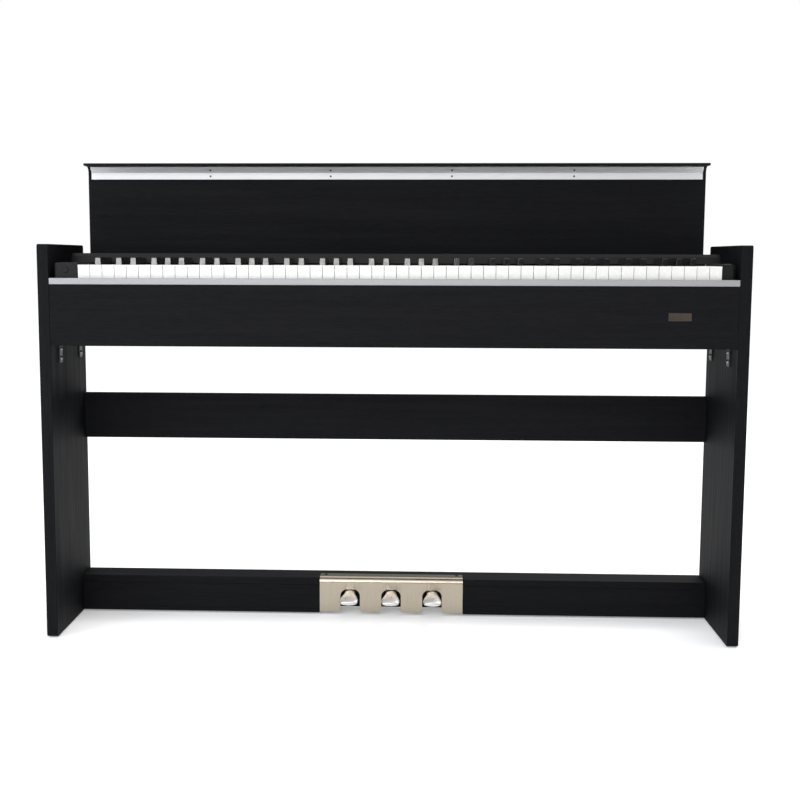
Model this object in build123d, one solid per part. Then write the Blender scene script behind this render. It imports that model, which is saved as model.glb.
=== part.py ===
"""Slim 88-key digital piano on a panel stand, with its key cover open.

Millimetres. +X runs to the treble end, the player sits on the -Y side, +Z is up.
Depths below are measured back from the front edge of the side panels, and every
finished node is moved forward by half the overall depth, so that the origin is on
the floor under the middle of the whole object.
"""

import os

from build123d import *

# Case and stand
width = 1351.0
case_depth = 260.0
side_height = 772.0
side_thickness = 22.0
board = 15.0
glide_height = 2.0
inner = width / 2 - side_thickness
case_bottom = 577.6
slip_top = 695.5
trim_top = 707.5
rail_z = (367.0, 462.0)
rail_thickness = 18.0
beam_front = 195.0
beam_z = (4.0, 79.0)

# Keyboard
key_pitch = 23.5
octave = 7 * key_pitch
key_gap = 0.9
keys_left = -600.0
keys_right = keys_left + 52 * key_pitch
white_front = 11.0
white_top = 732.7
white_lip = 4.5
white_bottom = 706.2
key_underside = 714.0
key_rear = 236.0
black_front = white_front + 50.0
black_rear = 158.0
black_top = 747.0
black_width = 11.8
black_taper = 3.4
sharp_centres = {"cs": 21.15, "ds": 49.35, "fs": 90.6, "gs": 117.5, "as": 144.4}
naturals = ("c", "d", "e", "f", "g", "a", "b")

# Panel behind the keys
panel_face = 163.0
panel_top = 755.5
panel_rear = 242.0
arm_recess = 641.0
back_top = 748.0

# Key cover: drawn closed, then turned open about its pivot
cover_half = 645.0
cover_under = 757.0
cover_rear = 258.0
nose_bottom = 717.0
nose_thickness = 5.0
nose_fillet = 13.0
trim_flat = 13.0
nose_round = 9.0
pivot_y = 234.0
pivot_z = 707.0
arm_thickness = 5.0
arm_width = 16.0
pin_radius = 4.0
running_gap = 0.05

# Pedals
pedal_pitch = 86.0
pedal_axle_y = 236.0
pedal_axle_z = 50.0
cover_sheet = 1.5
pedal_cover_front = 193.0
pedal_cover_half = 150.0
pedal_cover_bottom = 7.0
pedal_tip = 122.0
pedal_foot = 19.0
pedal_neck = 11.0

open_rear = pivot_y + side_height - pivot_z
overall_depth = open_rear


def block(x, y, z):
    """Box between three (low, high) spans."""
    size = (x[1] - x[0], y[1] - y[0], z[1] - z[0])
    return Pos(x[0], y[0], z[0]) * Box(*size, align=(Align.MIN, Align.MIN, Align.MIN))


def soft_block(x, y, z, radius):
    """Box with all its edges rounded."""
    solid = block(x, y, z)
    return fillet(solid.edges(), radius)


def along_x(outline, x):
    """Extrude a closed (y, z) outline between two X positions."""
    face = Plane.YZ.offset(x[0]) * make_face(outline)
    return extrude(face, amount=x[1] - x[0])


def polygon(points):
    """Closed outline with straight sides."""
    return Polyline(*points, close=True)


def rod(start, radius, length, axis="x"):
    """Cylinder that starts at a point and runs along one axis."""
    turn = {"x": Rot(0, 90, 0), "y": Rot(-90, 0, 0), "z": Rot(0, 0, 0)}[axis]
    cylinder = Cylinder(radius, length, align=(Align.CENTER, Align.CENTER, Align.MIN))
    return Pos(*start) * turn * cylinder


def group(solids):
    """Separate solids that share one node."""
    return Compound(list(solids))


def mirrored(solid):
    """The solid and its mirror image across the middle of the object."""
    return [solid, mirror(solid, about=Plane.YZ)]


# ---------------------------------------------------------------- stand


def side_panel(sign):
    span = sorted((sign * inner, sign * width / 2))
    panel = block(span, (0, case_depth), (glide_height, side_height))
    corners = panel.edges().filter_by(Axis.X)
    panel = fillet(corners, 6)
    return fillet(panel.edges().filter_by(Plane.YZ), 1.2)


def back_rail():
    span = (case_depth - rail_thickness, case_depth)
    return soft_block((-inner, inner), span, rail_z, 1)


def foot_beam_top():
    top = block((-inner, inner), (beam_front, case_depth), (beam_z[1] - board, beam_z[1]))
    notch_half = pedal_cover_half + 0.5
    notch = block((-notch_half, notch_half), (beam_front - 1, beam_front + 12), (0, 100))
    return top - notch


def foot_beam_front():
    notch_half = pedal_cover_half + 0.5
    half = block((notch_half, inner), (beam_front, beam_front + board), (beam_z[0], beam_z[1] - board))
    return group(mirrored(half))


def foot_beam_back():
    span = (case_depth - board, case_depth)
    return block((-inner, inner), span, (beam_z[0], beam_z[1] - board))


def floor_glides():
    pads = []
    for y in (30, case_depth - 30):
        pads += mirrored(rod((inner + side_thickness / 2, y, 0), 9, glide_height, "z"))
    return group(pads)


# ---------------------------------------------------------------- case


panel_setback = 0.6


def front_panel():
    return soft_block((-inner, inner), (panel_setback, board), (case_bottom, slip_top), 0.5)


def key_slip_trim():
    return soft_block((-inner, inner), (0, 9.5), (slip_top, trim_top), 1)


speaker_x = 450.0
speaker_y = 128.0
speaker_radius = 50.0
jack_x = -560.0
jack_y = 60.0
jack_housing = (52.0, 24.0, 34.0)


def key_bed():
    bed = block((-inner, inner), (board, case_depth - rail_thickness), (case_bottom, case_bottom + board))
    for x in (-speaker_x, speaker_x):
        bed -= rod((x, speaker_y, case_bottom - 1), speaker_radius + 0.4, board + 2, "z")
    half_x, half_y = jack_housing[0] / 2, jack_housing[1] / 2
    bed -= block((jack_x - half_x, jack_x + half_x), (jack_y - half_y, jack_y + half_y), (570, 600))
    return bed


inlet_x = 560.0
inlet_z = 640.0
inlet_half = 9.0


def back_panel():
    span = (case_depth - rail_thickness, case_depth)
    panel = block((-arm_recess + 1, arm_recess - 1), span, (case_bottom, back_top))
    hole_x = (inlet_x - inlet_half, inlet_x + inlet_half)
    return panel - block(hole_x, (span[0] - 1, span[1] + 1), (inlet_z - inlet_half, inlet_z + inlet_half))


button_xs = (-60.0, -36.0, -12.0, 12.0)
button_y = 208.0
button_radius = 4.0
button_proud = 1.0
slider_x = 110.0
slider_travel = 12.0
slider_size = (13.0, 7.4)
slide_gap = 0.3
board_x = (-150.0, 170.0)
board_y = (182.0, 234.0)
board_z = 738.0


def control_panel():
    sheet = 3.0
    outline = polygon(
        [
            (panel_face, 736),
            (panel_face + 5, 750),
            (panel_face + 10, panel_top),
            (panel_rear, panel_top),
            (panel_rear, panel_top - sheet),
            (panel_face + 11.3, panel_top - sheet),
            (panel_face + 7.9, 748.9),
            (panel_face + 3.3, 736),
        ]
    )
    panel = along_x(outline, (-inner, inner))
    for side in ((-inner - 1, -arm_recess), (arm_recess, inner + 1)):
        panel -= block(side, (220, panel_rear + 1), (730, panel_top + 1))
    for x in button_xs:
        panel -= rod((x, button_y, 740), button_radius + slide_gap, 20, "z")
    slot = slider_size[0] / 2 + slider_travel + 0.5
    half = slider_size[1] / 2 + slide_gap
    panel -= block((slider_x - slot, slider_x + slot), (button_y - half, button_y + half), (740, 760))
    for x in (board_x[0] + 6, board_x[1] - 6):
        for y in (board_y[0] + 6, board_y[1] - 6):
            panel += rod((x, y, board_z + 1.6), 3, panel_top - sheet - board_z - 1.6, "z")
    return panel


def main_board():
    return block(board_x, board_y, (board_z, board_z + 1.6))


def function_button(x):
    return rod((x, button_y, 742), button_radius, panel_top + button_proud - 742, "z")


def volume_slider():
    half_x, half_y = slider_size[0] / 2, slider_size[1] / 2
    return block(
        (slider_x - half_x, slider_x + half_x),
        (button_y - half_y, button_y + half_y),
        (742, panel_top + button_proud),
    )


block_front = 12.0
block_top = 737.0
power_x = -624.0
power_z = 723.0
power_radius = 5.5
power_proud = 2.0


def key_block(x):
    """End block beside the keys, with a thin flange that closes the gap to the side panel."""
    end = block(x, (block_front, panel_face - 1), (slip_top + 0.5, block_top))
    end = fillet(end.edges().filter_by(lambda e: e.center().Z > block_top - 0.1), 2)
    outer = inner if x[0] > 0 else -inner
    near = x[1] if x[0] > 0 else x[0]
    flange = block(sorted((near, outer)), (40, 43), (slip_top + 0.5, 735))
    return end + flange


def key_block_left():
    end = key_block((-arm_recess - 2, keys_left - 1))
    return end - rod((power_x, block_front - 1, power_z), power_radius + slide_gap, 15, "y")


def key_block_right():
    return key_block((keys_right + 1, arm_recess + 1))


def power_button():
    start = (power_x, block_front - power_proud, power_z)
    cap = rod(start, power_radius, 12, "y")
    front = cap.edges().sort_by(Axis.Y)[0]
    return fillet(front, 0.8)


def speaker(x):
    """Downward-firing driver: grille plate, cone basket and magnet."""
    grille = rod((x, speaker_y, case_bottom + 1), speaker_radius, 4, "z")
    basket = Pos(x, speaker_y, case_bottom + 5) * Cone(
        speaker_radius - 3, 24, 32, align=(Align.CENTER, Align.CENTER, Align.MIN)
    )
    magnet = rod((x, speaker_y, case_bottom + 36), 31, 15, "z")
    return grille + basket + magnet


def headphone_jacks():
    half_x, half_y = jack_housing[0] / 2, jack_housing[1] / 2
    top = case_bottom + jack_housing[2]
    housing = block((jack_x - half_x, jack_x + half_x), (jack_y - half_y, jack_y + half_y), (case_bottom, top))
    for x in (jack_x - 12, jack_x + 12):
        housing -= rod((x, jack_y, case_bottom - 1), 3.2, 31, "z")
    return housing


def power_inlet():
    span = (case_depth - rail_thickness, case_depth)
    hole_x = (inlet_x - inlet_half, inlet_x + inlet_half)
    housing = block(hole_x, span, (inlet_z - inlet_half, inlet_z + inlet_half))
    return housing - rod((inlet_x, case_depth - 12, inlet_z), 2.9, 13, "y")


bracket_ys = (64.0, 212.0)


def body_brackets():
    """Four steel angles that tie the case to the side panels."""
    sheet = 3.0
    drop = 37.0
    reach = 28.0
    angles = []
    for y in bracket_ys:
        span = (y - 10, y + 10)
        leg = block((inner - sheet, inner), span, (case_bottom - drop, case_bottom))
        shelf = block((inner - reach, inner), span, (case_bottom - sheet, case_bottom))
        angles += mirrored(leg + shelf)
    return group(angles)


leg_screw_heights = (550.0, 568.0)


def screw(place, radius=3.8, height=2.0):
    """Pan-head screw, head outwards along the place's +Z."""
    head = Cylinder(radius, height, align=(Align.CENTER, Align.CENTER, Align.MIN))
    head = fillet(head.edges().sort_by(Axis.Z)[-1], 1.4)
    shank = Cylinder(1.8, 11, align=(Align.CENTER, Align.CENTER, Align.MAX))
    return place * (head + shank)


def case_screws():
    """Screws of the brackets and of the pedal cover."""
    screws = []
    for y in bracket_ys:
        for z in leg_screw_heights:
            screws += mirrored(screw(Pos(inner - 3, y, z) * Rot(0, -90, 0), 4.4, 5.5))
        screws += mirrored(screw(Pos(inner - 17, y, case_bottom - 3) * Rot(180, 0, 0)))
    screws += mirrored(screw(Pos(138, 219, beam_z[1] + cover_sheet)))
    return group(screws)


# ---------------------------------------------------------------- keys


def sharp_spans(octave_left):
    """X spans that the sharps of one octave take up, with their side gaps."""
    half = black_width / 2 + key_gap
    return [(octave_left + c - half, octave_left + c + half) for c in sharp_centres.values()]


def white_key(index):
    """White key by its count from the bass end; 0 and 1 are the low A and B."""
    left = keys_left + index * key_pitch
    degree = (index + 5) % 7
    octave_left = left - degree * key_pitch
    x = (left + key_gap / 2, left + key_pitch - key_gap / 2)
    top = block(x, (white_front, key_rear), (white_top - white_lip, white_top))
    head = block(x, (white_front + 1.2, 30), (white_bottom, white_top - white_lip))
    stem = block(x, (30, key_rear), (key_underside, white_top - white_lip))
    key = top + head + stem
    for place, span in enumerate(sharp_spans(octave_left)):
        missing = (index == 0 and place < 4) or index == 51
        if not missing and span[1] > x[0] and span[0] < x[1]:
            key -= block(span, (black_front - 1.2, key_rear + 1), (700, 740))
    front = key.edges().filter_by(Axis.X).sort_by(Axis.Z)[-2:]
    front = front.sort_by(Axis.Y)[0]
    return fillet(front, 1.2)


def black_key(centre):
    """Black key: a straight stem with a tapered, rounded top."""
    half = black_width / 2
    stem = block((centre - half, centre + half), (black_front, key_rear), (key_underside, 730))
    length = black_rear - black_front
    base = Pos(centre, black_front + length / 2, 730) * Rectangle(black_width, length)
    top = extrude(base, amount=black_top - 730, taper=black_taper)
    crown = top.edges().filter_by(lambda e: e.center().Z > black_top - 0.01)
    return stem + fillet(crown, 1.4)


def key_nodes():
    """The octave from middle C as single keys, and the rest as four groups."""
    nodes = {}
    middle = 23
    middle_left = keys_left + middle * key_pitch
    for degree, name in enumerate(naturals):
        nodes["key_" + name + "4"] = white_key(middle + degree)
    for name, centre in sharp_centres.items():
        nodes["key_" + name + "4"] = black_key(middle_left + centre)
    nodes["white_keys_low"] = group(white_key(i) for i in range(middle))
    nodes["white_keys_high"] = group(white_key(i) for i in range(middle + 7, 52))
    low = [middle_left - 4 * octave + sharp_centres["as"]]
    low += [middle_left - n * octave + c for n in (3, 2, 1) for c in sharp_centres.values()]
    high = [middle_left + n * octave + c for n in (1, 2, 3) for c in sharp_centres.values()]
    nodes["black_keys_low"] = group(black_key(c) for c in low)
    nodes["black_keys_high"] = group(black_key(c) for c in high)
    return nodes


frame_x = (keys_left + 2, keys_right - 2)
frame_top = 693.0
felt_top = 705.6


def key_frame():
    """Bent steel frame under the keys, with the ridge that they rock on."""
    bed_top = case_bottom + board
    plate = block(frame_x, (34, 238), (frame_top - 2, frame_top))
    front = block(frame_x, (34, 36), (bed_top, frame_top - 2))
    rear = block(frame_x, (236.5, 238.5), (bed_top, frame_top))
    ridge = block(frame_x, (230.5, 233.5), (frame_top, key_underside - 0.5))
    return plate + front + rear + ridge


def key_felt():
    return block(frame_x, (42, 58), (frame_top, felt_top))


# ---------------------------------------------------------------- key cover


def opened(closed):
    """Turn something drawn on the closed cover to the open position."""
    return closed.rotate(Axis((0, pivot_y, pivot_z), (1, 0, 0)), -90)


def key_cover():
    """Flat board with a nose that hangs in front of the keys when closed."""
    inside = nose_thickness + nose_fillet
    corner = cover_under - nose_fillet
    top = side_height
    board_part = block((-cover_half, cover_half), (0, cover_rear), (cover_under, top))
    nose = block((-cover_half, cover_half), (0, nose_thickness), (nose_bottom, cover_under))
    web = block((-cover_half, cover_half), (nose_thickness, inside), (corner, cover_under))
    web -= rod((-cover_half - 1, inside, corner), nose_fillet, 2 * cover_half + 2)
    cover = board_part + nose + web
    long_edges = cover.edges().filter_by(Axis.X)
    outer = [e for e in long_edges if e.center().Y < 0.1 and e.center().Z > top - 0.1]
    cover = fillet(outer, nose_round)
    small = [e for e in cover.edges().filter_by(Axis.X) if e.center().Z < nose_bottom + 0.1]
    return opened(fillet(small, 1.5))


def cover_trim():
    """Bent aluminium strip across the inside of the nose."""
    inside = nose_thickness + nose_fillet
    corner = cover_under - nose_fillet
    outline = polygon(
        [
            (nose_thickness + 0.2, corner + 1.2),
            (inside - 1.2, cover_under - 0.2),
            (inside, cover_under),
            (inside + trim_flat, cover_under),
            (inside + trim_flat, cover_under - 1.5),
            (inside - 0.6, cover_under - 1.5),
            (nose_thickness + 1.4, corner + 0.2),
        ]
    )
    return opened(along_x(outline, (-cover_half + 7, cover_half - 7)))


def cover_trim_screws():
    """Small screws in four pairs, one on each facet of the strip."""
    head = Cylinder(1.9, 3, align=(Align.CENTER, Align.CENTER, Align.CENTER))
    sloped_y = nose_thickness + nose_fillet / 2 + 0.2
    flat_y = nose_thickness + nose_fillet + trim_flat / 2
    screws = []
    for count in range(4):
        x = -6 + 253 * (count - 1.5)
        screws.append(opened(Pos(x, sloped_y, cover_under - 6.4) * Rot(-45, 0, 0) * head))
        screws.append(opened(Pos(x, flat_y, cover_under - 1) * head))
    return group(screws)


def cover_arms():
    """Steel arms at the cover's ends, turning on pins in the side panels."""
    x = (cover_half, cover_half + arm_thickness)
    half = arm_width / 2
    reach = block(x, (pivot_y - half, pivot_y + half), (pivot_z, side_height - 1))
    plate = block(x, (pivot_y - 48, pivot_y + half), (cover_under + 1.5, side_height - 1))
    hub = rod((x[0], pivot_y, pivot_z), 10, arm_thickness)
    bore = rod((x[0] - 1, pivot_y, pivot_z), pin_radius + running_gap, arm_thickness + 2)
    arm = reach + plate + hub - bore
    return group(mirrored(opened(arm)))


def cover_pivot_pins():
    pin = rod((cover_half - 1, pivot_y, pivot_z), pin_radius, inner - cover_half + 8)
    return group(mirrored(pin))


# ---------------------------------------------------------------- pedals


def pedal_cover():
    """Bent sheet over the pedal unit, with a notch for each pedal."""
    bend = 12.0
    flange_rear = 228.0
    top = beam_z[1] + cover_sheet
    front = pedal_cover_front
    outline = (
        Line((front, pedal_cover_bottom), (front, top - bend))
        + RadiusArc((front, top - bend), (front + bend, top), bend)
        + Line((front + bend, top), (flange_rear, top))
        + Line((flange_rear, top), (flange_rear, beam_z[1]))
        + Line((flange_rear, beam_z[1]), (front + bend, beam_z[1]))
        + RadiusArc((front + bend, beam_z[1]), (front + cover_sheet, top - bend), cover_sheet - bend)
        + Line((front + cover_sheet, top - bend), (front + cover_sheet, pedal_cover_bottom))
        + Line((front + cover_sheet, pedal_cover_bottom), (front, pedal_cover_bottom))
    )
    cover = along_x(outline, (-pedal_cover_half, pedal_cover_half))
    half, arch_top, shoulder, flare = 20.5, 55.0, 14.0, 5.0
    for x in (-pedal_pitch, 0, pedal_pitch):
        notch = block((x - half, x + half), (front - 2, front + 4), (0, arch_top))
        top_corners = [e for e in notch.edges().filter_by(Axis.Y) if e.center().Z > 1]
        cover -= fillet(top_corners, shoulder)
    feet = [
        e
        for e in cover.edges().filter_by(Axis.Y)
        if e.center().Z < pedal_cover_bottom + 0.1 and abs(e.center().X) < pedal_cover_half - 1
    ]
    return fillet(feet, flare)


def pedal(x):
    """Lever with a round hub, a narrow neck and a broad, slightly drooping foot."""
    neck, foot, tip = pedal_neck, pedal_foot, pedal_tip
    rear = pedal_axle_y
    side = (
        Spline((rear, 56), (200, 53), (160, 50.5), (tip, 45))
        + Line((tip, 45), (tip, 40))
        + Spline((tip, 40), (160, 43.5), (200, 45), (rear, 45))
        + Line((rear, 45), (rear, 56))
    )
    lever = along_x(side, (-foot, foot))
    round_start = tip + foot * 0.8
    edge = Spline((neck, rear + 2), (neck, 190), (foot, 155), (foot, round_start))
    nose = ThreePointArc((foot, round_start), (0, tip), (-foot, round_start))
    back = Line((-neck, rear + 2), (neck, rear + 2))
    plan = make_face(edge + nose + mirror(edge, about=Plane.YZ) + back)
    lever = lever & extrude(plan, amount=90)
    lever += rod((-neck, pedal_axle_y, pedal_axle_z), 7.5, 2 * neck)
    lever -= rod((-foot, pedal_axle_y, pedal_axle_z), pin_radius + running_gap, 2 * foot)
    return Pos(x, 0, 0) * lever


chassis_top = beam_z[1] - board
chassis_sheet = 2.0


def pedal_axle():
    length = 3 * pedal_pitch + 10
    return rod((-length / 2, pedal_axle_y, pedal_axle_z), pin_radius, length)


def pedal_chassis():
    """Steel plate under the beam's top board, with four cheeks that carry the axle."""
    chassis = block((-140, 140), (209, 244), (chassis_top - chassis_sheet, chassis_top))
    for count in range(4):
        x = pedal_pitch * (count - 1.5)
        chassis += block((x - 1.5, x + 1.5), (228, 244), (42, chassis_top - chassis_sheet))
    return chassis


def pedal_springs():
    """Torsion springs round the axle, one beside each hub."""
    wire, coil, pitch, turns = 0.9, 5.6, 2.0, 4
    springs = []
    for x in (-pedal_pitch, 0, pedal_pitch):
        start = x + pedal_neck + 2
        path = Helix(pitch=pitch, height=pitch * turns, radius=coil)
        profile = Plane(origin=path @ 0, z_dir=path % 0) * Circle(wire)
        turned = Pos(start, pedal_axle_y, pedal_axle_z) * Rot(0, 90, 0) * sweep(profile, path)
        springs.append(turned)
    return group(springs)


# ---------------------------------------------------------------- nodes


def all_nodes():
    nodes = {
        "side_panel_left": side_panel(-1),
        "side_panel_right": side_panel(1),
        "back_rail": back_rail(),
        "foot_beam_top": foot_beam_top(),
        "foot_beam_front": foot_beam_front(),
        "foot_beam_back": foot_beam_back(),
        "floor_glides": floor_glides(),
        "front_panel": front_panel(),
        "key_slip_trim": key_slip_trim(),
        "key_bed": key_bed(),
        "back_panel": back_panel(),
        "control_panel": control_panel(),
        "main_board": main_board(),
        "volume_slider": volume_slider(),
        "key_block_left": key_block_left(),
        "key_block_right": key_block_right(),
        "power_button": power_button(),
        "speaker_left": speaker(-speaker_x),
        "speaker_right": speaker(speaker_x),
        "headphone_jacks": headphone_jacks(),
        "power_inlet": power_inlet(),
        "body_brackets": body_brackets(),
        "case_screws": case_screws(),
        "key_frame": key_frame(),
        "key_felt": key_felt(),
        "key_cover": key_cover(),
        "cover_trim": cover_trim(),
        "cover_trim_screws": cover_trim_screws(),
        "cover_arms": cover_arms(),
        "cover_pivot_pins": cover_pivot_pins(),
        "pedal_cover": pedal_cover(),
        "pedal_axle": pedal_axle(),
        "pedal_chassis": pedal_chassis(),
        "pedal_springs": pedal_springs(),
    }
    for number, x in enumerate(button_xs, 1):
        nodes["function_button_" + str(number)] = function_button(x)
    for name, x in (("left", -pedal_pitch), ("middle", 0), ("right", pedal_pitch)):
        nodes["pedal_" + name] = pedal(x)
    nodes.update(key_nodes())
    return nodes


os.makedirs("parts", exist_ok=True)
for node_name, shape in all_nodes().items():
    placed = Pos(0, -overall_depth / 2, 0) * shape
    export_step(placed, "parts/" + node_name + ".step")
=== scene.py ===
"""Looks of a slim digital piano on a panel stand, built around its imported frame."""

import math

import bpy
from bpy.props import FloatProperty, FloatVectorProperty, PointerProperty
from mathutils import Euler, Matrix, Vector


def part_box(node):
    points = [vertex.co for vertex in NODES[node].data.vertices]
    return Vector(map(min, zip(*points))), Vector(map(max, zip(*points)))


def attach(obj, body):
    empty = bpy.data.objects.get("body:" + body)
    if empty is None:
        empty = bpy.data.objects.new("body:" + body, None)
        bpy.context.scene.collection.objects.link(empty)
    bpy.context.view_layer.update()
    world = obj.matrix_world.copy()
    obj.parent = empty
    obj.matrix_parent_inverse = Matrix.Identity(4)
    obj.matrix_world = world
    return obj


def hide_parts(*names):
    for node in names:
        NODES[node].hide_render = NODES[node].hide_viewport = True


bl_info = {
    "name": "Digital piano looks",
    "version": (1, 0, 0),
    "blender": (4, 5, 0),
    "location": "3D View > Sidebar > Piano",
    "description": "Finishes and fine pieces of a slim digital piano on its stand",
    "category": "Object",
}

MM = 0.001
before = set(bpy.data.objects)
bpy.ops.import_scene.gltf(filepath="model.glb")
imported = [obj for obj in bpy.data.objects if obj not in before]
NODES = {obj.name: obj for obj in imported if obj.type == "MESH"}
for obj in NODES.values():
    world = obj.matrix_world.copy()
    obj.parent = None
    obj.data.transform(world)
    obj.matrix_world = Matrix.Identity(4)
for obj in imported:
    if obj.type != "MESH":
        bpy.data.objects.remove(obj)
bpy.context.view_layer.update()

WHITE_KEYS = ["white_keys_low", "white_keys_high"] + ["key_" + note + "4" for note in "cdefgab"]
BLACK_KEYS = ["black_keys_low", "black_keys_high"]
BLACK_KEYS += ["key_" + note + "4" for note in ("cs", "ds", "fs", "gs", "as")]
PEDALS = ["pedal_left", "pedal_middle", "pedal_right"]
BUTTONS = ["function_button_" + str(number) for number in range(1, 5)]


# ------------------------------------------------------------------ settings


def linear(hex_value, alpha=1.0):
    """sRGB hex value to a linear colour."""
    parts = [int(hex_value[i : i + 2], 16) / 255 for i in (1, 3, 5)]
    made = [p / 12.92 if p <= 0.04045 else ((p + 0.055) / 1.055) ** 2.4 for p in parts]
    return (*made, alpha)


def colour(name, hex_value, description):
    """A colour property whose default is given as an sRGB hex value."""
    return FloatVectorProperty(
        name=name, default=linear(hex_value), description=description, subtype="COLOR", size=4, min=0, max=1
    )


def length(name, millimetres, description):
    """A length property whose default is given in millimetres."""
    return FloatProperty(
        name=name, default=millimetres * MM, description=description, min=0, precision=5, unit="LENGTH"
    )


def angle(name, degrees, description):
    """An angle property whose default is given in degrees."""
    return FloatProperty(
        name=name, default=math.radians(degrees), description=description, precision=3, subtype="ANGLE"
    )


def power(name, watts, description):
    """A lamp's power in watts."""
    return FloatProperty(name=name, default=watts, description=description, min=0, unit="POWER")


class PianoColours(bpy.types.PropertyGroup):
    """Colours of the piano's finishes."""

    board: colour("Board", "#0A0B0F", "Black foil on the boards")
    board_pore: colour("Board pore", "#040405", "The foil's pressed wood pores")
    plastic: colour("Plastic", "#0C0C0E", "Moulded case plastic")
    button: colour("Button", "#0A0C12", "Buttons and the slider knob")
    key_white: colour("White keys", "#E6E5E1", "White key tops")
    key_black: colour("Black keys", "#141415", "Black key tops")
    aluminium: colour("Cover strip", "#E0E0E2", "Anodised strip of the cover")
    aluminium_slip: colour("Key slip strip", "#A8A8AB", "Anodised strip below the keys")
    steel_warm: colour("Pedal cover", "#B5AA9A", "Satin sheet of the pedal cover")
    plating: colour("Pedal plating", "#D8D5D2", "Plating of the pedals")
    hardware: colour("Hardware", "#8E9092", "Zinc plated steel")
    hardware_dark: colour("Dark hardware", "#232426", "Blackened screws")
    paint: colour("Painted steel", "#19191B", "Brackets and arms")
    felt: colour("Felt", "#6E1620", "Felt under the keys")
    cone: colour("Cone", "#262524", "Paper of the loudspeaker cones")
    circuit: colour("Circuit board", "#0E4A2A", "Solder mask")
    badge: colour("Badge", "#4D463F", "Blank badge plate")


class PianoDetails(bpy.types.PropertyGroup):
    """Sizes of the fine detail."""

    board_edge: length("Board edge", 0.8, "Rounding of the boards' edges")
    key_edge: length("Key edge", 0.5, "Rounding of the white keys' edges")
    sheet_edge: length("Sheet edge", 0.4, "Rounding of the pedal cover's edges")
    small_edge: length("Small edge", 0.3, "Rounding of plastic and metal edges")
    pore_width: length("Pore width", 1.1, "Width of the foil's wood pores")
    pore_length: length("Pore length", 24.0, "Length of the foil's wood pores")
    brush_width: length("Brush width", 0.5, "Width of brushed lines, drawn coarse enough to show")
    pedal_thick: length("Pedal thickness", 9.0, "Thickness of a pedal's foot")
    pedal_gloss: FloatProperty(
        name="Pedal gloss",
        default=0.27,
        description="Roughness of the plating",
        min=0,
        max=1,
        subtype="FACTOR",
    )
    badge_width: length("Badge width", 43.0, "Width of the blank badge")
    badge_height: length("Badge height", 15.0, "Height of the blank badge")
    badge_thick: length("Badge thickness", 0.5, "Thickness of the blank badge")
    badge_x: length("Badge place", 544.0, "Distance of the badge's centre from the middle of the piano")
    badge_z: length("Badge height above floor", 638.0, "Height of the badge's centre above the floor")


class PianoStage(bpy.types.PropertyGroup):
    """Camera and light."""

    camera_place: FloatVectorProperty(
        name="Camera",
        default=(0.0538, -2.5692, 0.7452),
        description="Camera position",
        precision=4,
        subtype="TRANSLATION",
    )
    camera_down: angle("Look down", 6.872, "Camera pitch below the horizontal")
    camera_turn: angle("Turn", -2.442, "Camera yaw to the right")
    camera_roll: angle("Roll", 0.148, "Camera roll")
    camera_lens: FloatProperty(
        name="Lens", default=57.36, description="Focal length in millimetres", min=1, unit="CAMERA"
    )
    shift_x: FloatProperty(name="Shift X", default=0.0449, description="Sideways lens shift", precision=4)
    shift_y: FloatProperty(name="Shift Y", default=0.0156, description="Upward lens shift", precision=4)
    backdrop: colour("Floor", "#FAFAFA", "Studio floor")
    room_light: FloatProperty(name="Room", default=0.16, description="Brightness of the room around", min=0)
    sky_light: FloatProperty(name="Skylight", default=2.4, description="Watts per square metre", min=0)
    rear_light: power("Rear light", 45.0, "High box behind the piano")
    sill_light: power("Low window", 15.0, "Low strip that gleams on the fronts of the black keys")
    window_light: power("Window light", 36.0, "Cool window on the left")
    front_light: power("Front light", 36.0, "Broad box in front")


def settings():
    """The three groups of settings on the scene."""
    scene = bpy.context.scene
    return scene.piano_colours, scene.piano_details, scene.piano_stage


# ------------------------------------------------------------------ node helpers


def grey(value):
    """A plain value as a colour."""
    return (value, value, value, 1.0)


def shaded(tint, share):
    """A colour made darker or lighter by a share."""
    return (*(min(1.0, part * share) for part in tint[:3]), 1.0)


def new_material(name):
    """Empty node material and its tree."""
    made = bpy.data.materials.new(name)
    made.use_nodes = True
    made.node_tree.nodes.clear()
    return made, made.node_tree


def node(tree, kind, inputs=None, stops=(), **options):
    """Adds a shader node; inputs are values or other nodes' outputs, stops a ramp's places and colours."""
    made = tree.nodes.new(kind)
    for key, value in options.items():
        setattr(made, key, value)
    for key, value in (inputs or {}).items():
        if isinstance(value, bpy.types.NodeSocket):
            tree.links.new(value, made.inputs[key])
        else:
            made.inputs[key].default_value = value
    for count, (place, value) in enumerate(stops):
        made.color_ramp.elements[count].position = place
        made.color_ramp.elements[count].color = value
    return made


def stretched_noise(tree, sizes, detail=4.0, roughness=0.55):
    """Noise in object space with its own feature size in metres along each axis."""
    place = node(tree, "ShaderNodeTexCoord").outputs["Object"]
    stretch = node(tree, "ShaderNodeMapping", {"Vector": place, "Scale": [1 / size for size in sizes]})
    inputs = {"Vector": stretch.outputs["Vector"], "Scale": 1.0, "Detail": detail, "Roughness": roughness}
    return node(tree, "ShaderNodeTexNoise", inputs).outputs["Fac"]


def finish_surface(tree, inputs, height=None, depth=0.0):
    """Principled shader linked to the output, with a bump of a real depth where there is a height."""
    shader = node(tree, "ShaderNodeBsdfPrincipled", inputs)
    if height is not None:
        bump = node(tree, "ShaderNodeBump", {"Strength": 1.0, "Distance": depth, "Height": height})
        tree.links.new(bump.outputs["Normal"], shader.inputs["Normal"])
    node(tree, "ShaderNodeOutputMaterial", {"Surface": shader.outputs["BSDF"]})


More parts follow.
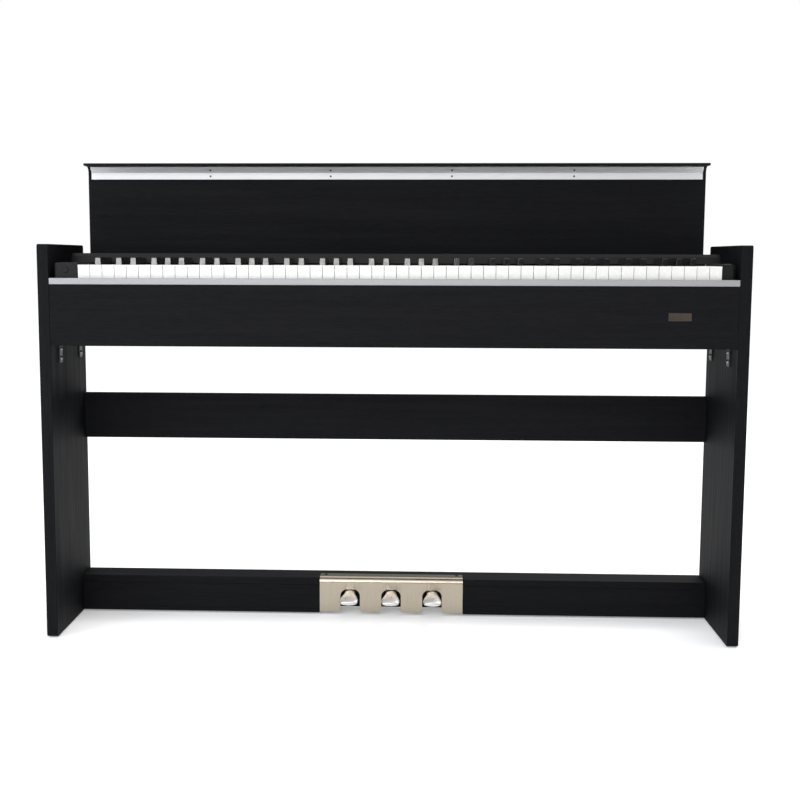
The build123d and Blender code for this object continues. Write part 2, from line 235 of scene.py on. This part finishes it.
def patterned_surface(tree, pattern, tones, glosses, depth, more):
    """Surface whose colour, roughness and relief all follow one pattern."""
    gloss_stops = [(place, grey(value)) for place, value in glosses]
    tone = node(tree, "ShaderNodeValToRGB", {"Fac": pattern}, tones)
    gloss = node(tree, "ShaderNodeValToRGB", {"Fac": pattern}, gloss_stops)
    inputs = {"Base Color": tone.outputs["Color"], "Roughness": gloss.outputs["Color"]}
    finish_surface(tree, inputs | more, pattern, depth)


# ------------------------------------------------------------------ finishes


def black_ash_foil(name, colours, details, along):
    """Black ash foil on particle board: satin print layer with pressed pores along the board."""
    made, tree = new_material(name)
    # the pores are drawn wider than real ones, coarse enough to show, and the gloss varies in broader bands
    fine = [details.pore_width] * 3
    fine[along] = details.pore_length
    broad = [size * 9 for size in fine]
    broad[along] = details.pore_length * 14
    pores = stretched_noise(tree, fine, detail=3.0)
    cloud = stretched_noise(tree, broad, detail=2.0)
    relief = node(tree, "ShaderNodeValToRGB", {"Fac": pores}, [(0.40, grey(0.0)), (0.50, grey(1.0))])
    tones = [(0.40, colours.board_pore), (0.50, colours.board)]
    tone = node(tree, "ShaderNodeValToRGB", {"Fac": pores}, tones)
    gloss = node(tree, "ShaderNodeValToRGB", {"Fac": cloud}, [(0.3, grey(0.62)), (0.7, grey(0.74))])
    inputs = {"Base Color": tone.outputs["Color"], "Roughness": gloss.outputs["Color"]}
    inputs["Specular IOR Level"] = 0.13
    finish_surface(tree, inputs, relief.outputs["Color"], 0.012 * MM)
    return made


def moulded_abs(name, tint, rough=0.42):
    """Injection-moulded ABS: fine spark-eroded texture, so a soft broad sheen."""
    made, tree = new_material(name)
    # the grit is drawn coarse enough to show
    grit = stretched_noise(tree, [0.7 * MM] * 3, detail=2.0)
    glosses = [(0.3, grey(rough - 0.05)), (0.7, grey(rough + 0.05))]
    gloss = node(tree, "ShaderNodeValToRGB", {"Fac": grit}, glosses)
    inputs = {"Base Color": tint, "Roughness": gloss.outputs["Color"], "Specular IOR Level": 0.22}
    finish_surface(tree, inputs, grit, 0.008 * MM)
    return made


def polished_key(name, tint, rough, waviness):
    """Moulded key plastic: polished tops with a faint mould waviness."""
    made, tree = new_material(name)
    wave = stretched_noise(tree, (9 * MM, 40 * MM, 9 * MM), detail=1.0)
    tones = [(0.35, shaded(tint, 0.96)), (0.65, tint)]
    glosses = [(0.3, rough), (0.7, rough + 0.06)]
    patterned_surface(tree, wave, tones, glosses, waviness, {"Specular IOR Level": 0.6})
    return made


def brushed_aluminium(name, tint, details, metallic):
    """Clear anodised aluminium, brushed along its length; a thicker film looks a little milky."""
    made, tree = new_material(name)
    wide = details.brush_width
    lines = stretched_noise(tree, (180 * MM, wide, wide), detail=2.0)
    tones = [(0.3, shaded(tint, 0.9)), (0.7, tint)]
    glosses = [(0.3, 0.56), (0.7, 0.66)]
    patterned_surface(tree, lines, tones, glosses, 0.006 * MM, {"Metallic": metallic})
    return made


def satin_sheet(name, tint, rough, wide):
    """Satin-rolled steel sheet: soft blurred reflections with faint upright rolling marks."""
    made, tree = new_material(name)
    lines = stretched_noise(tree, (wide, wide, 90 * MM), detail=2.0)
    tones = [(0.3, shaded(tint, 0.9)), (0.7, tint)]
    glosses = [(0.3, rough - 0.03), (0.7, rough + 0.05)]
    patterned_surface(tree, lines, tones, glosses, 0.004 * MM, {"Metallic": 1.0})
    return made


def plated_metal(name, tint, rough):
    """Plated casting: smooth, with slight hand wear in scattered patches."""
    made, tree = new_material(name)
    wear = stretched_noise(tree, (6 * MM, 14 * MM, 6 * MM), detail=5.0)
    tones = [(0.35, shaded(tint, 0.92)), (0.6, tint)]
    glosses = [(0.35, rough + 0.08), (0.65, rough)]
    patterned_surface(tree, wear, tones, glosses, 0.004 * MM, {"Metallic": 1.0})
    return made


def powder_coat(name, tint):
    """Powder-coated steel: fine orange-peel texture."""
    made, tree = new_material(name)
    peel = stretched_noise(tree, [1.6 * MM] * 3, detail=2.0)
    gloss = node(tree, "ShaderNodeValToRGB", {"Fac": peel}, [(0.3, grey(0.38)), (0.7, grey(0.5))])
    finish_surface(tree, {"Base Color": tint, "Roughness": gloss.outputs["Color"]}, peel, 0.03 * MM)
    return made


def fibrous(tree, tint, sizes, detail, roughness, painted_shade_share):
    """Matted fibres, drawn coarse enough to show: their pattern, and a colour with painted shade between
    them, darker where their relief is low.
    """
    fibre = stretched_noise(tree, sizes, detail, roughness)
    # painted shade: the colour is darker between the fibres, where the relief is low
    tones = [(0.35, shaded(tint, painted_shade_share)), (0.65, tint)]
    return fibre, node(tree, "ShaderNodeValToRGB", {"Fac": fibre}, tones).outputs["Color"]


def wool_felt(name, tint):
    """Pressed wool felt: dense short fibres with a soft sheen."""
    made, tree = new_material(name)
    # the felt's colour carries painted shade between its fibres
    fibre, tone = fibrous(tree, tint, [0.6 * MM] * 3, 6.0, 0.7, 0.5)
    finish_surface(tree, {"Base Color": tone, "Roughness": 0.95, "Sheen Weight": 0.5}, fibre, 0.3 * MM)
    return made


def pressed_paper(name, tint):
    """Pressed paper pulp of a loudspeaker cone: dull, with matted fibres."""
    made, tree = new_material(name)
    # the cone's colour carries painted shade between its fibres
    fibre, tone = fibrous(tree, tint, (2.5 * MM, 0.8 * MM, 0.8 * MM), 5.0, 0.65, 0.6)
    finish_surface(tree, {"Base Color": tone, "Roughness": 0.9}, fibre, 0.08 * MM)
    return made


def solder_mask(name, tint):
    """Green solder mask over copper tracks: glossy, and brighter where a track lies under it."""
    made, tree = new_material(name)
    # the tracks are drawn 4 mm apart, coarse enough to show
    place = node(tree, "ShaderNodeTexCoord").outputs["Object"]
    stretch = node(tree, "ShaderNodeMapping", {"Vector": place, "Scale": [1 / (4 * MM)] * 3})
    inputs = {"Vector": stretch.outputs["Vector"], "Scale": 1.0}
    tracks = node(tree, "ShaderNodeTexVoronoi", inputs, distance="CHEBYCHEV").outputs["Distance"]
    tone = node(tree, "ShaderNodeValToRGB", {"Fac": tracks}, [(0.4, tint), (0.5, shaded(tint, 1.6))])
    finish_surface(tree, {"Base Color": tone.outputs["Color"], "Roughness": 0.3}, tracks, 0.03 * MM)
    return made


# ------------------------------------------------------------------ mesh helpers


def dress(name, material):
    """Gives a frame node one finish in all its slots."""
    slots = NODES[name].data.materials
    if not slots:
        slots.append(material)
    for count in range(len(slots)):
        slots[count] = material


def soften(name, width):
    """Rounds a frame node's sharp edges with live modifiers."""
    piece = NODES[name]
    weld = piece.modifiers.new("join_faces", "WELD")
    weld.merge_threshold = 0.01 * MM
    bevel = piece.modifiers.new("round_edges", "BEVEL")
    bevel.width = width
    bevel.segments = 2
    bevel.limit_method = "ANGLE"
    bevel.angle_limit = math.radians(40)
    even = piece.modifiers.new("even_shading", "WEIGHTED_NORMAL")
    even.keep_sharp = True


def clear_selection():
    """Leaves object mode with nothing selected."""
    if bpy.context.object and bpy.context.object.mode != "OBJECT":
        bpy.ops.object.mode_set(mode="OBJECT")
    bpy.ops.object.select_all(action="DESELECT")


def select_only(piece):
    """Makes one piece selected and active."""
    clear_selection()
    piece.select_set(True)
    bpy.context.view_layer.objects.active = piece


def added(name):
    """Names the primitive that was just added."""
    piece = bpy.context.object
    piece.name = name
    piece.data.name = name
    return piece


def added_block(name, centre, size):
    """Adds a block of a real size, to be shaped further."""
    clear_selection()
    bpy.ops.mesh.primitive_cube_add(size=1, location=centre)
    piece = added(name)
    piece.scale = size
    bpy.ops.object.transform_apply(location=True, rotation=True, scale=True)
    return piece


def select_where(test):
    """Goes into edit mode with only the vertices selected whose place passes a test."""
    piece = bpy.context.object
    bpy.ops.object.mode_set(mode="OBJECT")
    for polygon in piece.data.polygons:
        polygon.select = False
    for edge in piece.data.edges:
        edge.select = False
    for vertex in piece.data.vertices:
        vertex.select = test(vertex.co)
    bpy.ops.object.mode_set(mode="EDIT")
    bpy.ops.mesh.select_mode(type="VERT")


def settle(piece, material, body, smooth_deg=35):
    """Puts the place into the mesh, recalculates normals, shades, dresses and rides."""
    select_only(piece)
    for modifier in list(piece.modifiers):
        bpy.ops.object.modifier_apply(modifier=modifier.name)
    bpy.ops.object.transform_apply(location=True, rotation=True, scale=True)
    bpy.ops.object.mode_set(mode="EDIT")
    bpy.ops.mesh.select_all(action="SELECT")
    bpy.ops.mesh.normals_make_consistent(inside=False)
    bpy.ops.object.mode_set(mode="OBJECT")
    bpy.ops.object.shade_smooth_by_angle(angle=math.radians(smooth_deg))
    piece.data.materials.clear()
    piece.data.materials.append(material)
    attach(piece, body)
    return piece


def join_pieces(pieces, name):
    """Joins like pieces into one mesh."""
    clear_selection()
    for piece in pieces:
        piece.select_set(True)
    bpy.context.view_layer.objects.active = pieces[0]
    bpy.ops.object.join()
    return added(name)


def copy_of(piece):
    """Copy with a mesh of its own."""
    made = piece.copy()
    made.data = piece.data.copy()
    bpy.context.scene.collection.objects.link(made)
    return made


# ------------------------------------------------------------------ operators


class PIANO_OT_boards(bpy.types.Operator):
    """Dress the boards in black ash foil, with the pores along each board"""

    bl_idname = "piano.boards"
    bl_label = "Boards"

    def execute(self, context):
        colours, details, _ = settings()
        level = black_ash_foil("black_ash_foil_level", colours, details, 0)
        upright = black_ash_foil("black_ash_foil_upright", colours, details, 2)
        for name in ("side_panel_left", "side_panel_right"):
            dress(name, upright)
        for name in ("back_rail", "foot_beam_top", "foot_beam_front", "foot_beam_back"):
            dress(name, level)
        for name in ("front_panel", "key_bed", "back_panel", "key_cover"):
            dress(name, level)
        for name in ("foot_beam_top", "foot_beam_front", "foot_beam_back", "key_bed", "back_panel"):
            soften(name, details.board_edge)
        return {"FINISHED"}


class PIANO_OT_keys(bpy.types.Operator):
    """Dress the keys and round their edges"""

    bl_idname = "piano.keys"
    bl_label = "Keys"

    def execute(self, context):
        colours, details, _ = settings()
        white = polished_key("white_key_plastic", colours.key_white, 0.22, 0.004 * MM)
        black = polished_key("black_key_plastic", colours.key_black, 0.1, 0.002 * MM)
        for name in WHITE_KEYS:
            dress(name, white)
            soften(name, details.key_edge)
        for name in BLACK_KEYS:
            dress(name, black)
            soften(name, details.small_edge)
        return {"FINISHED"}


class PIANO_OT_plastics(bpy.types.Operator):
    """Dress the moulded pieces, buttons and sockets"""

    bl_idname = "piano.plastics"
    bl_label = "Plastics"

    def execute(self, context):
        colours, details, _ = settings()
        case = moulded_abs("moulded_case_abs", colours.plastic)
        button = moulded_abs("moulded_button_abs", colours.button, 0.35)
        for name in ("control_panel", "key_block_left", "key_block_right", "floor_glides"):
            dress(name, case)
        for name in ("headphone_jacks", "power_inlet"):
            dress(name, case)
        for name in ["volume_slider", "power_button"] + BUTTONS:
            dress(name, button)
            soften(name, details.small_edge)
        for name in ("control_panel", "key_block_left", "key_block_right"):
            soften(name, details.small_edge)
        paper = pressed_paper("pressed_paper_cone", colours.cone)
        for name in ("speaker_left", "speaker_right"):
            dress(name, paper)
        return {"FINISHED"}


class PIANO_OT_metals(bpy.types.Operator):
    """Dress the strips, the pedal cover, brackets and the steel inside"""

    bl_idname = "piano.metals"
    bl_label = "Metals"

    def execute(self, context):
        colours, details, _ = settings()
        strips = (("cover_trim", colours.aluminium, 0.8), ("key_slip_trim", colours.aluminium_slip, 1.0))
        for name, tint, metallic in strips:
            dress(name, brushed_aluminium("brushed_anodised_" + name, tint, details, metallic))
            soften(name, details.small_edge)
        sheet = satin_sheet("satin_rolled_steel", colours.steel_warm, 0.28, details.brush_width)
        dress("pedal_cover", sheet)
        soften("pedal_cover", details.sheet_edge)
        inner_sheet = satin_sheet("zinc_coated_sheet", colours.hardware, 0.4, 3 * MM)
        for name in ("pedal_chassis", "key_frame"):
            dress(name, inner_sheet)
        paint = powder_coat("black_powder_coat", colours.paint)
        for name in ("body_brackets", "cover_arms"):
            dress(name, paint)
            soften(name, details.small_edge)
        zinc = plated_metal("zinc_plated_steel", colours.hardware, 0.3)
        for name in ("cover_pivot_pins", "pedal_axle", "pedal_springs"):
            dress(name, zinc)
        dress("key_felt", wool_felt("pressed_wool_felt", colours.felt))
        dress("main_board", solder_mask("solder_mask", colours.circuit))
        return {"FINISHED"}


class PIANO_OT_pedals(bpy.types.Operator):
    """Model the cast pedals: a round hub, a narrow neck and a broad soft foot"""

    bl_idname = "piano.pedals"
    bl_label = "Pedals"

    # share of the reach, half width as a share of the foot's, top above the foot's top in millimetres
    SECTIONS = (
        (0.16, 0.62, 2.2),
        (0.42, 0.62, 1.2),
        (0.54, 0.66, 0.6),
        (0.66, 0.84, -0.2),
        (0.78, 1.04, -1.6),
        (0.88, 1.12, -3.0),
        (0.97, 1.08, -4.4),
        (1.00, 0.80, -5.4),
    )
    FOOT_DROP = 4.5 * MM
    ROOT_SHARE = 0.62
    ROOT_RISE = 2.4 * MM
    ROOT_SETBACK = 6 * MM
    ROOT_DEPTH = 8 * MM
    HUB_RADIUS = 7.4 * MM
    HUB_LENGTH = 22 * MM
    HUB_SETBACK = 7.5 * MM
    HUB_RIM = 0.8 * MM

    def execute(self, context):
        colours, details, _ = settings()
        plating = plated_metal("satin_pedal_plating", colours.plating, details.pedal_gloss)
        for name in PEDALS:
            lever = self.lever(name + "_lever", name, details.pedal_thick)
            hub = self.hub(name + "_hub", name)
            piece = join_pieces([lever, hub], name + "_casting")
            settle(piece, plating, name, 50)
            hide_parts(name)
        return {"FINISHED"}

    def lever(self, piece_name, node_name, thick):
        """Extrudes a cast lever forward from its hub, one cross-section at a time."""
        low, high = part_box(node_name)
        middle = (low.x + high.x) / 2
        half = (high.x - low.x) / 2
        reach = high.y - low.y
        foot_top = high.z - self.FOOT_DROP
        root = Vector((middle, high.y - self.ROOT_SETBACK, foot_top + self.ROOT_RISE - thick / 2))
        piece = added_block(piece_name, root, (2 * half * self.ROOT_SHARE, self.ROOT_DEPTH, thick))
        front, wide, level = root.y - self.ROOT_DEPTH / 2, half * self.ROOT_SHARE, root.z
        for share, width, rise in self.SECTIONS:
            y = high.y - reach * share
            target = foot_top + rise * MM - thick / 2
            self.select_front(front)
            bpy.ops.mesh.extrude_region_move(TRANSFORM_OT_translate={"value": (0, y - front, target - level)})
            grow = half * width / wide
            bpy.ops.transform.resize(value=(grow, 1, 1), center_override=(middle, y, target))
            front, wide, level = y, half * width, target
        bpy.ops.object.mode_set(mode="OBJECT")
        smooth = piece.modifiers.new("cast_form", "SUBSURF")
        smooth.levels = 3
        smooth.render_levels = 3
        bpy.ops.object.modifier_apply(modifier="cast_form")
        self.fit(piece, low, high)
        return piece

    def select_front(self, front):
        """Selects the lever's front end, ready to be drawn further out."""
        select_where(lambda co: co.y < front + 0.1 * MM)

    def fit(self, piece, low, high):
        """Stretches the lever to just inside the frame pedal's width and front tip."""
        points = [v.co for v in piece.data.vertices]
        wide = max(p.x for p in points) - min(p.x for p in points)
        tip = min(p.y for p in points)
        pivot = ((low.x + high.x) / 2, high.y, high.z)
        across = (high.x - low.x - 0.2 * MM) / wide
        forward = (high.y - low.y - 0.1 * MM) / (high.y - tip)
        select_where(lambda co: True)
        bpy.ops.transform.resize(value=(across, 1, 1), center_override=pivot)
        bpy.ops.transform.resize(value=(1, forward, 1), center_override=pivot)
        bpy.ops.object.mode_set(mode="OBJECT")

    def hub(self, piece_name, node_name):
        """Round boss about the axle, with soft rims."""
        low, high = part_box(node_name)
        clear_selection()
        place = ((low.x + high.x) / 2, high.y - self.HUB_SETBACK, high.z - self.HUB_SETBACK)
        size = {"radius": self.HUB_RADIUS, "depth": self.HUB_LENGTH}
        across = (0, math.pi / 2, 0)
        bpy.ops.mesh.primitive_cylinder_add(vertices=48, location=place, rotation=across, **size)
        piece = added(piece_name)
        rims = piece.modifiers.new("rims", "BEVEL")
        rims.width = self.HUB_RIM
        rims.segments = 3
        rims.limit_method = "ANGLE"
        bpy.ops.object.modifier_apply(modifier="rims")
        return piece


def cross_screw(name, radius, height, recess):
    """Pan head with a pressed cross recess, its seat at the origin and its crown on +Z."""
    clear_selection()
    bpy.ops.mesh.primitive_cylinder_add(
        vertices=32, radius=radius, depth=height, location=(0, 0, height / 2), end_fill_type="NGON"
    )
    head = added(name)
    dome = head.modifiers.new("crown", "BEVEL")
    dome.width = height * 0.55
    dome.segments = 4
    dome.limit_method = "ANGLE"
    bpy.ops.object.modifier_apply(modifier="crown")
    for turn in (0, 90):
        bpy.ops.mesh.primitive_cube_add(size=1, location=(0, 0, height))
        blade = bpy.context.object
        blade.scale = (recess, recess * 0.24, height * 1.1)
        blade.rotation_euler.z = math.radians(turn)
        bpy.ops.object.transform_apply(location=True, rotation=True, scale=True)
        cut = head.modifiers.new("recess", "BOOLEAN")
        cut.object = blade
        cut.operation = "DIFFERENCE"
        cut.solver = "EXACT"
        select_only(head)
        bpy.ops.object.modifier_apply(modifier="recess")
        bpy.data.objects.remove(blade)
    return head


def islands(name):
    """Boxes of the separate solids in one frame node."""
    copy = copy_of(NODES[name])
    copy.parent = None
    select_only(copy)
    bpy.ops.object.mode_set(mode="EDIT")
    bpy.ops.mesh.select_all(action="SELECT")
    bpy.ops.mesh.remove_doubles(threshold=0.01 * MM)
    bpy.ops.mesh.separate(type="LOOSE")
    bpy.ops.object.mode_set(mode="OBJECT")
    boxes = []
    for part in list(bpy.context.selected_objects):
        points = [v.co for v in part.data.vertices]
        low = Vector(min(p[i] for p in points) for i in range(3))
        high = Vector(max(p[i] for p in points) for i in range(3))
        boxes.append((low, high))
        mesh = part.data
        bpy.data.objects.remove(part)
        bpy.data.meshes.remove(mesh)
    return sorted(boxes, key=lambda box: (round(box[0].x, 4), round(box[0].y, 4)))


class PIANO_OT_screws(bpy.types.Operator):
    """Model the cross-head screws of the brackets and of the pedal cover"""

    bl_idname = "piano.screws"
    bl_label = "Screws"

    LEG_HEAD = {"radius": 4.4 * MM, "height": 5.5 * MM, "recess": 5.4 * MM}
    FLAT_HEAD = {"radius": 3.8 * MM, "height": 2.0 * MM, "recess": 4.6 * MM}
    SHELF_LEVEL = 0.3

    def execute(self, context):
        colours, _, _ = settings()
        bright = plated_metal("bright_zinc_screw", colours.hardware, 0.25)
        dark = plated_metal("blackened_screw", colours.hardware_dark, 0.35)
        tall = cross_screw("leg_screw_pattern", **self.LEG_HEAD)
        flat = cross_screw("shelf_screw_pattern", **self.FLAT_HEAD)
        leg, rest = [], []
        for low, high in islands("case_screws"):
            if high.x - low.x > high.z - low.z:
                leg.append(self.in_leg(tall, low, high))
            else:
                rest.append(self.in_sheet(flat, low, high))
        for heads, name, metal in ((leg, "leg_screws", bright), (rest, "shelf_and_cover_screws", dark)):
            piece = settle(join_pieces(heads, name), metal, "stand", 30)
            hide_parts("case_screws")
        for pattern in (tall, flat):
            bpy.data.objects.remove(pattern)
        dress("cover_trim_screws", dark)
        return {"FINISHED"}

    def in_leg(self, pattern, low, high):
        """Screw in a bracket's leg, its head towards the middle of the piano."""
        middle = (low + high) / 2
        height = self.LEG_HEAD["height"]
        if middle.x < 0:
            return self.placed(pattern, (high.x - height, middle.y, middle.z), (0, math.pi / 2, 0))
        return self.placed(pattern, (low.x + height, middle.y, middle.z), (0, -math.pi / 2, 0))

    def in_sheet(self, pattern, low, high):
        """Screw in a bracket's shelf, head down, or in the pedal cover below it, head up."""
        middle = (low + high) / 2
        height = self.FLAT_HEAD["height"]
        if low.z > self.SHELF_LEVEL:
            return self.placed(pattern, (middle.x, middle.y, low.z + height), (math.pi, 0, 0))
        return self.placed(pattern, (middle.x, middle.y, high.z - height), (0, 0, 0))

    def placed(self, pattern, seat, turn):
        """Copy of a screw with its seat at a point."""
        head = copy_of(pattern)
        head.matrix_world = Matrix.Translation(seat) @ Euler(turn).to_matrix().to_4x4()
        return head


class PIANO_OT_badge(bpy.types.Operator):
    """Model the blank badge plate on the front panel, with a sunk middle"""

    bl_idname = "piano.badge"
    bl_label = "Badge"

    SEAT = 0.1 * MM
    RIM = 1.4 * MM
    SUNK = 0.2 * MM
    EDGE = 0.12 * MM

    def execute(self, context):
        colours, details, _ = settings()
        low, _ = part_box("front_panel")
        thick = details.badge_thick
        front = low.y + self.SEAT - thick
        place = (details.badge_x, front + thick / 2, details.badge_z)
        plate = added_block("badge_plate", place, (details.badge_width, thick, details.badge_height))
        select_where(lambda co: co.y < front + 0.01 * MM)
        bpy.ops.mesh.inset(thickness=self.RIM, depth=-self.SUNK)
        bpy.ops.object.mode_set(mode="OBJECT")
        edges = plate.modifiers.new("soft_edge", "BEVEL")
        edges.width = self.EDGE
        edges.segments = 2
        metal = plated_metal("satin_badge_metal", colours.badge, 0.4)
        settle(plate, metal, "stand")
        return {"FINISHED"}


class PIANO_OT_stage(bpy.types.Operator):
    """Set up the pale floor, the white room, the soft lights and the camera"""

    bl_idname = "piano.stage"
    bl_label = "Stage"

    FLOOR_SIZE = 60
    WINDOW_TINT = (0.80, 0.90, 1.0)
    LAMP_TINT = (1.0, 0.98, 0.96)
    ROOM_TINT = (0.86, 0.92, 1.0, 1.0)

    def execute(self, context):
        _, _, stage = settings()
        self.camera(stage)
        self.floor(stage)
        self.room(stage)
        self.lights(stage)
        context.scene.view_settings.view_transform = "Standard"
        return {"FINISHED"}

    def camera(self, stage):
        """Camera in front of the piano, a little above its keys."""
        data = bpy.data.cameras.new("camera")
        data.sensor_width = 36
        data.lens = stage.camera_lens
        data.shift_x = stage.shift_x
        data.shift_y = stage.shift_y
        camera = bpy.data.objects.new("camera", data)
        bpy.context.scene.collection.objects.link(camera)
        turn = Matrix.Rotation(-stage.camera_turn, 4, "Z")
        down = Matrix.Rotation(math.pi / 2 - stage.camera_down, 4, "X")
        roll = Matrix.Rotation(stage.camera_roll, 4, "Z")
        camera.matrix_world = Matrix.Translation(stage.camera_place) @ turn @ down @ roll
        bpy.context.scene.camera = camera

    def floor(self, stage):
        """Broad pale floor that glows faintly, so that it stays white far behind."""
        clear_selection()
        bpy.ops.mesh.primitive_plane_add(size=1, location=(0, 0, 0))
        piece = added("studio_floor")
        piece.scale = (self.FLOOR_SIZE, self.FLOOR_SIZE, 1)
        bpy.ops.object.transform_apply(location=True, rotation=True, scale=True)
        made, tree = new_material("studio_paper")
        inputs = {"Base Color": stage.backdrop, "Roughness": 0.9}
        inputs |= {"Emission Color": (1, 1, 1, 1), "Emission Strength": 0.25}
        finish_surface(tree, inputs)
        piece.data.materials.append(made)

    def room(self, stage):
        """White wall for the camera, while a dimmer room lights the piano and shows in its gloss."""
        world = bpy.data.worlds.new("studio")
        bpy.context.scene.world = world
        world.use_nodes = True
        tree = world.node_tree
        tree.nodes.clear()
        seen = node(tree, "ShaderNodeLightPath").outputs["Is Camera Ray"]
        wall = node(tree, "ShaderNodeBackground", {"Color": (1, 1, 1, 1), "Strength": 1.0})
        room = node(tree, "ShaderNodeBackground", {"Color": self.ROOM_TINT, "Strength": stage.room_light})
        inputs = {"Fac": seen, 1: room.outputs["Background"], 2: wall.outputs["Background"]}
        both = node(tree, "ShaderNodeMixShader", inputs)
        node(tree, "ShaderNodeOutputWorld", {"Surface": both.outputs["Shader"]})

    def lights(self, stage):
        """One broad skylight and four soft boxes."""
        sky = bpy.data.lights.new("skylight", "SUN")
        sky.energy = stage.sky_light
        sky.angle = math.radians(110)
        bpy.context.scene.collection.objects.link(bpy.data.objects.new("skylight", sky))
        cool, plain = self.WINDOW_TINT, self.LAMP_TINT
        plan = (
            # name, place, aim, size, power, tint
            ("window_left", (-2.7, -2.5, 1.9), (0.1, 0, 0.6), (1.4, 1.2), stage.window_light, cool),
            ("front_box", (-0.4, -3.4, 2.3), (0, 0, 0.7), (2.6, 0.9), stage.front_light, plain),
            ("rear_box", (1.6, 3.0, 3.2), (0, 0.2, 0.6), (2.0, 1.2), stage.rear_light, plain),
            ("low_window", (-0.65, -2.9, 1.10), (-0.2, 0, 0.75), (1.6, 0.22), stage.sill_light, plain),
        )
        for name, place, aim, size, watts, tint in plan:
            data = bpy.data.lights.new(name, "AREA")
            data.shape = "RECTANGLE"
            data.size, data.size_y = size
            data.energy = watts
            data.color = tint
            light = bpy.data.objects.new(name, data)
            bpy.context.scene.collection.objects.link(light)
            light.location = place
            light.rotation_euler = (Vector(aim) - Vector(place)).to_track_quat("-Z", "Y").to_euler()


class PIANO_PT_panel(bpy.types.Panel):
    """Lists the piano's operators, with the settings that they read"""

    bl_idname = "PIANO_PT_panel"
    bl_label = "Digital piano"
    bl_space_type = "VIEW_3D"
    bl_region_type = "UI"
    bl_category = "Piano"

    def draw(self, context):
        for step in STEPS:
            self.layout.operator("piano." + step)
        for group in settings():
            box = self.layout.box()
            for name in type(group).__annotations__:
                box.prop(group, name)


STEPS = ("stage", "boards", "keys", "plastics", "metals", "pedals", "screws", "badge")
CLASSES = (
    PianoColours,
    PianoDetails,
    PianoStage,
    PIANO_OT_stage,
    PIANO_OT_boards,
    PIANO_OT_keys,
    PIANO_OT_plastics,
    PIANO_OT_metals,
    PIANO_OT_pedals,
    PIANO_OT_screws,
    PIANO_OT_badge,
    PIANO_PT_panel,
)


def register():
    """Adds the classes and the scene's three groups of settings."""
    for item in CLASSES:
        bpy.utils.register_class(item)
    bpy.types.Scene.piano_colours = PointerProperty(type=PianoColours)
    bpy.types.Scene.piano_details = PointerProperty(type=PianoDetails)
    bpy.types.Scene.piano_stage = PointerProperty(type=PianoStage)


def unregister():
    """Takes away what register added."""
    for name in ("piano_colours", "piano_details", "piano_stage"):
        delattr(bpy.types.Scene, name)
    for item in reversed(CLASSES):
        bpy.utils.unregister_class(item)


def main():
    """Builds everything in order."""
    register()
    for step in STEPS:
        getattr(bpy.ops.piano, step)()
    clear_selection()


if __name__ == "__main__":
    main()
